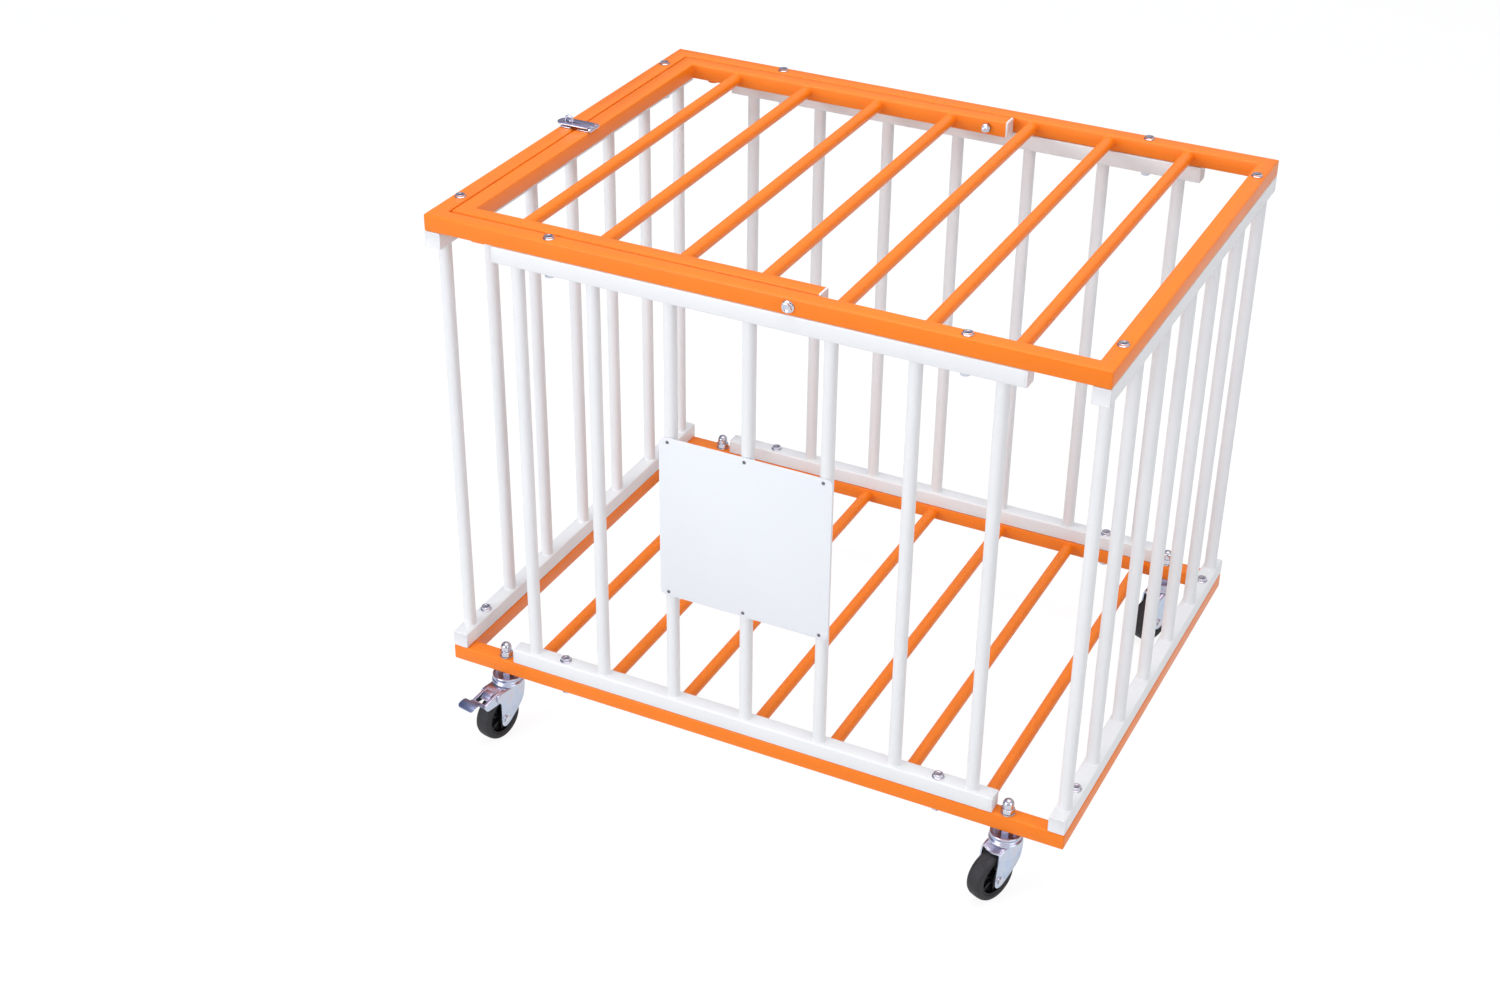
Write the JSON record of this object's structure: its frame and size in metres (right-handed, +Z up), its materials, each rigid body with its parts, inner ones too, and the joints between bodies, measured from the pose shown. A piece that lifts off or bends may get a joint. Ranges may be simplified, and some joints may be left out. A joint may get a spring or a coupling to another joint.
{
  "type": "ball cart",
  "caption": "Lockable wheeled ball cage: barred white panels between orange tube frames, half lid with hasp, blank sign plate and swivel casters with brakes.",
  "frame": {"origin": "middle of the cart's outline in plan, on the floor under its wheels", "axes": "+X along the cage from its lid end to its fixed end, +Y from the sign plate to the back, +Z up"},
  "size_m": [1.006, 0.848, 0.8773],
  "materials": {
    "orange_paint": "gloss powder coat",
    "white_paint": "satin powder coat",
    "sign_board": "satin sheet",
    "white_plastic": "moulded",
    "zinc": "bright zinc plating",
    "black_plastic": "moulded",
    "tyre_rubber": "matt rubber"
  },
  "bodies": {
    "cage": {"base_frame": "orange_paint", "front_panel": "white_paint", "back_panel": "white_paint", "left_panel": "white_paint", "right_panel": "white_paint", "sign_plate": "sign_board", "top_frame": "orange_paint", "lid_pivot_bolt_front": "zinc", "lid_pivot_bolt_back": "zinc", "bolt_top_front_left": "zinc", "bolt_base_front_left": "zinc", "bolt_top_front_right": "zinc", "bolt_base_front_right": "zinc", "bolt_top_back_left": "zinc", "bolt_base_back_left": "zinc", "bolt_top_back_right": "zinc", "bolt_base_back_right": "zinc", "bolt_top_left_front": "zinc", "bolt_base_left_front": "zinc", "bolt_top_left_back": "zinc", "bolt_base_left_back": "zinc", "bolt_top_right_front": "zinc", "bolt_base_right_front": "zinc", "bolt_top_right_back": "zinc", "bolt_base_right_back": "zinc", "hasp_staple": "zinc", "caster_stem_front_left": "zinc", "dome_nut_front_left": "zinc", "caster_stem_front_right": "zinc", "dome_nut_front_right": "zinc", "caster_stem_rear_left": "zinc", "dome_nut_rear_left": "zinc", "caster_stem_rear_right": "zinc", "dome_nut_rear_right": "zinc"},
    "lid": {"lid_frame": "orange_paint", "lid_cap_front": "white_plastic", "lid_cap_back": "white_plastic", "hasp_leaf": "zinc", "hasp_pin": "zinc"},
    "hasp_strap": {"hasp_strap": "zinc"},
    "fork_front_left": {"caster_fork_front_left": "zinc", "axle_front_left": "zinc"},
    "wheel_front_left": {"wheel_hub_front_left": "black_plastic", "tyre_front_left": "tyre_rubber"},
    "pedal_front_left": {"brake_pedal_front_left": "zinc"},
    "fork_front_right": {"caster_fork_front_right": "zinc", "axle_front_right": "zinc"},
    "wheel_front_right": {"wheel_hub_front_right": "black_plastic", "tyre_front_right": "tyre_rubber"},
    "fork_rear_left": {"caster_fork_rear_left": "zinc", "axle_rear_left": "zinc"},
    "wheel_rear_left": {"wheel_hub_rear_left": "black_plastic", "tyre_rear_left": "tyre_rubber"},
    "pedal_rear_left": {"brake_pedal_rear_left": "zinc"},
    "fork_rear_right": {"caster_fork_rear_right": "zinc", "axle_rear_right": "zinc"},
    "wheel_rear_right": {"wheel_hub_rear_right": "black_plastic", "tyre_rear_right": "tyre_rubber"}
  },
  "joints": [
    {"name": "lid_hinge", "type": "hinge", "parent": "cage", "child": "lid", "pos_m": [0.0645, 0.03654, 0.8475], "axis": [0, 1, 0], "range_deg": [0, 158]},
    {"name": "hasp_hinge", "type": "hinge", "parent": "lid", "child": "hasp_strap", "pos_m": [-0.4425, 0.03654, 0.8635], "axis": [0, 1, 0], "range_deg": [0, 170]},
    {"name": "swivel_front_left", "type": "hinge", "parent": "cage", "child": "fork_front_left", "pos_m": [-0.409, -0.32596, 0.09], "axis": [0, 0, 1], "continuous": true},
    {"name": "wheel_spin_front_left", "type": "hinge", "parent": "fork_front_left", "child": "wheel_front_left", "pos_m": [-0.41415, -0.35246, 0.0375], "axis": [0.9816, -0.1908, 0], "continuous": true},
    {"name": "brake_front_left", "type": "hinge", "parent": "fork_front_left", "child": "pedal_front_left", "pos_m": [-0.41596, -0.36179, 0.0835], "axis": [0.9816, -0.1908, 0], "range_deg": [0, 12]},
    {"name": "swivel_front_right", "type": "hinge", "parent": "cage", "child": "fork_front_right", "pos_m": [0.415, -0.32596, 0.09], "axis": [0, 0, 1], "continuous": true},
    {"name": "wheel_spin_front_right", "type": "hinge", "parent": "fork_front_right", "child": "wheel_front_right", "pos_m": [0.40489, -0.35099, 0.0375], "axis": [0.9272, -0.3746, 0], "continuous": true},
    {"name": "swivel_rear_left", "type": "hinge", "parent": "cage", "child": "fork_rear_left", "pos_m": [-0.409, 0.39904, 0.09], "axis": [0, 0, 1], "continuous": true},
    {"name": "wheel_spin_rear_left", "type": "hinge", "parent": "fork_rear_left", "child": "wheel_rear_left", "pos_m": [-0.41599, 0.37296, 0.0375], "axis": [0.9659, -0.2588, 0], "continuous": true},
    {"name": "brake_rear_left", "type": "hinge", "parent": "fork_rear_left", "child": "pedal_rear_left", "pos_m": [-0.41845, 0.36378, 0.0835], "axis": [0.9659, -0.2588, 0], "range_deg": [0, 12]},
    {"name": "swivel_rear_right", "type": "hinge", "parent": "cage", "child": "fork_rear_right", "pos_m": [0.415, 0.39904, 0.09], "axis": [0, 0, 1], "continuous": true},
    {"name": "wheel_spin_rear_right", "type": "hinge", "parent": "fork_rear_right", "child": "wheel_rear_right", "pos_m": [0.40489, 0.37401, 0.0375], "axis": [0.9272, -0.3746, 0], "continuous": true}
  ]
}
